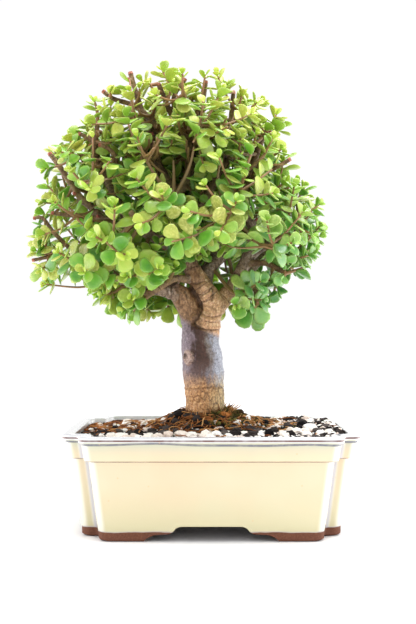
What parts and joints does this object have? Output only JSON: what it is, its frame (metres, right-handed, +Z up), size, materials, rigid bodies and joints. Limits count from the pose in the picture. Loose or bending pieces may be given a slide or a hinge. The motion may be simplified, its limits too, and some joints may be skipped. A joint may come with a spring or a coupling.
{
  "type": "elephant bush bonsai in a glazed pot",
  "caption": "Small succulent tree with a ringed trunk, forked branches and a rounded crown of fleshy leaves, in gritty soil in a footed rectangular glazed pot with notched corners.",
  "frame": {"origin": "on the ground under the middle of the whole plant and pot, at the level of the feet", "axes": "+Z up along the trunk, +X to the right along the pot's long side and -Y towards the viewer, who sees the pot's long front"},
  "size_m": [0.2976, 0.233, 0.4188],
  "materials": {
    "cream_glaze": "gloss",
    "black_plastic": "matte",
    "gritty_soil": "matte",
    "bark": "matte",
    "leaf": "satin"
  },
  "bodies": {
    "root": {"pot": "cream_glaze", "drain_screen_left": "black_plastic", "drain_screen_right": "black_plastic", "soil": "gritty_soil", "trunk_and_branches": "bark", "spray_01": "leaf", "spray_02": "leaf", "spray_03": "leaf", "spray_04": "leaf", "spray_05": "leaf", "spray_06": "leaf", "spray_07": "leaf", "spray_08": "leaf", "spray_09": "leaf", "spray_10": "leaf", "spray_11": "leaf", "spray_12": "leaf", "spray_13": "leaf", "spray_14": "leaf", "spray_15": "leaf", "spray_16": "leaf", "spray_17": "leaf", "spray_18": "leaf", "spray_19": "leaf", "spray_20": "leaf", "spray_21": "leaf", "spray_22": "leaf", "spray_23": "leaf", "spray_24": "leaf", "spray_25": "leaf", "spray_26": "leaf", "spray_27": "leaf", "spray_28": "leaf", "spray_29": "leaf", "spray_30": "leaf", "spray_31": "leaf", "spray_32": "leaf", "spray_33": "leaf", "spray_34": "leaf", "spray_35": "leaf", "spray_36": "leaf", "spray_37": "leaf", "spray_38": "leaf", "spray_39": "leaf", "spray_40": "leaf", "spray_41": "leaf", "spray_42": "leaf", "spray_43": "leaf", "spray_44": "leaf", "spray_45": "leaf", "spray_46": "leaf", "spray_47": "leaf", "spray_48": "leaf"}
  },
  "joints": []
}
